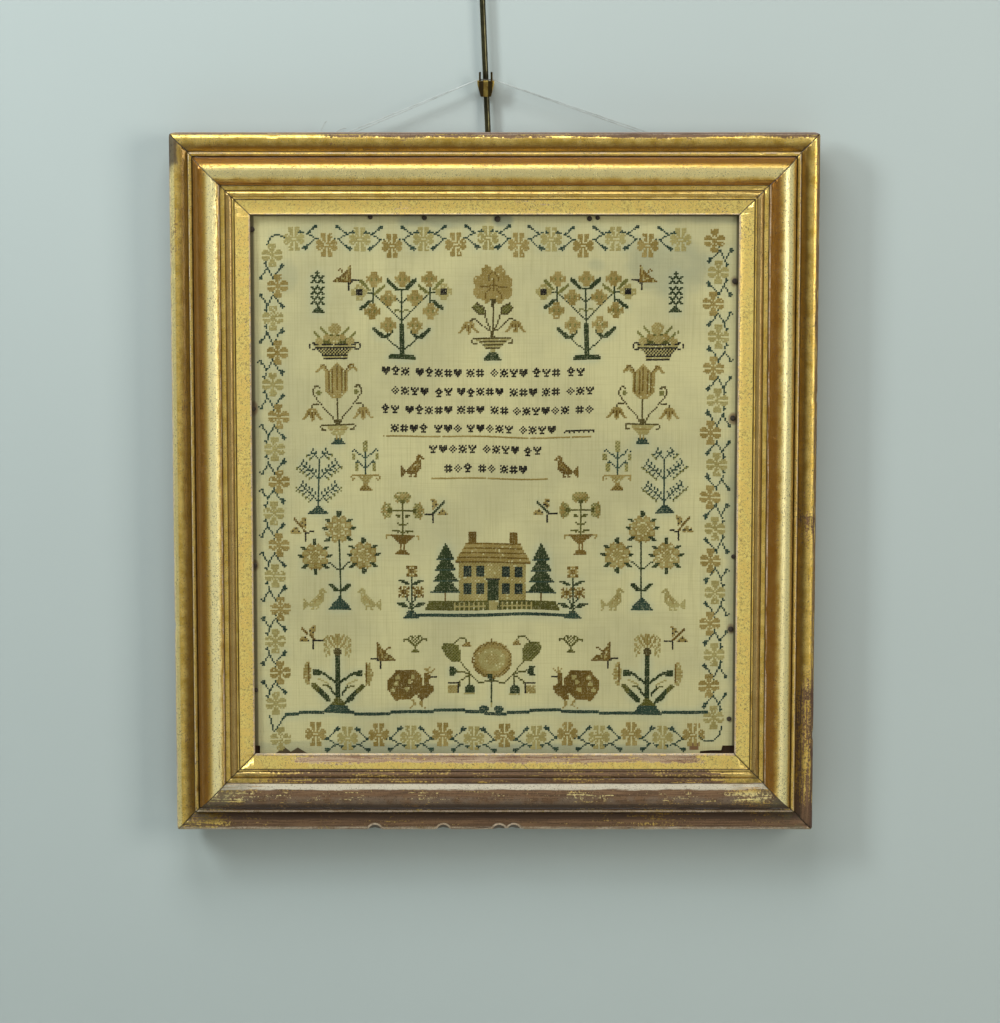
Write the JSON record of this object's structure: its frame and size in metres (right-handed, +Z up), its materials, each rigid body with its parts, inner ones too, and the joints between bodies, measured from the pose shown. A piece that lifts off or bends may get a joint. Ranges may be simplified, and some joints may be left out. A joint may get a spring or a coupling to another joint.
{
  "type": "framed cross stitch sampler with hanging rod and hook",
  "caption": "Cross stitch sampler tacked to a board in a worn gilt moulding frame, hanging by its wire from a hook clamped on a thin rod.",
  "frame": {"origin": "centre of the rod's upper end, where the rail or ceiling fitting that is left out holds it", "axes": "+Z up, -Y out of the sampler's front, +X to the right as seen from the front"},
  "size_m": [0.445, 0.0409, 0.5911],
  "materials": {
    "gilt_wood": "worn water gilding over bole and gesso",
    "cloth": "fine plain weave, aged cream",
    "board_wood": "dark, unfinished",
    "rusty_iron": "rusty",
    "old_brass": "dull, aged",
    "rod_brass": "tarnished",
    "steel_wire": "dull drawn wire"
  },
  "bodies": {
    "root": {"rail_top": "gilt_wood", "rail_bottom": "gilt_wood", "rail_left": "gilt_wood", "rail_right": "gilt_wood", "sampler_cloth": "cloth", "board": "board_wood", "tack_left_1": "rusty_iron", "tack_left_2": "rusty_iron", "tack_left_3": "rusty_iron", "tack_left_4": "rusty_iron", "tack_right_1": "rusty_iron", "tack_right_2": "rusty_iron", "tack_right_3": "rusty_iron", "tack_right_4": "rusty_iron", "tack_right_5": "rusty_iron", "tack_top_1": "rusty_iron", "tack_top_2": "rusty_iron", "tack_top_3": "rusty_iron", "tack_top_4": "rusty_iron", "tack_top_5": "rusty_iron", "eye_left": "old_brass", "eye_right": "old_brass", "hanging_wire": "steel_wire", "hook": "old_brass", "rod": "rod_brass"}
  },
  "joints": []
}
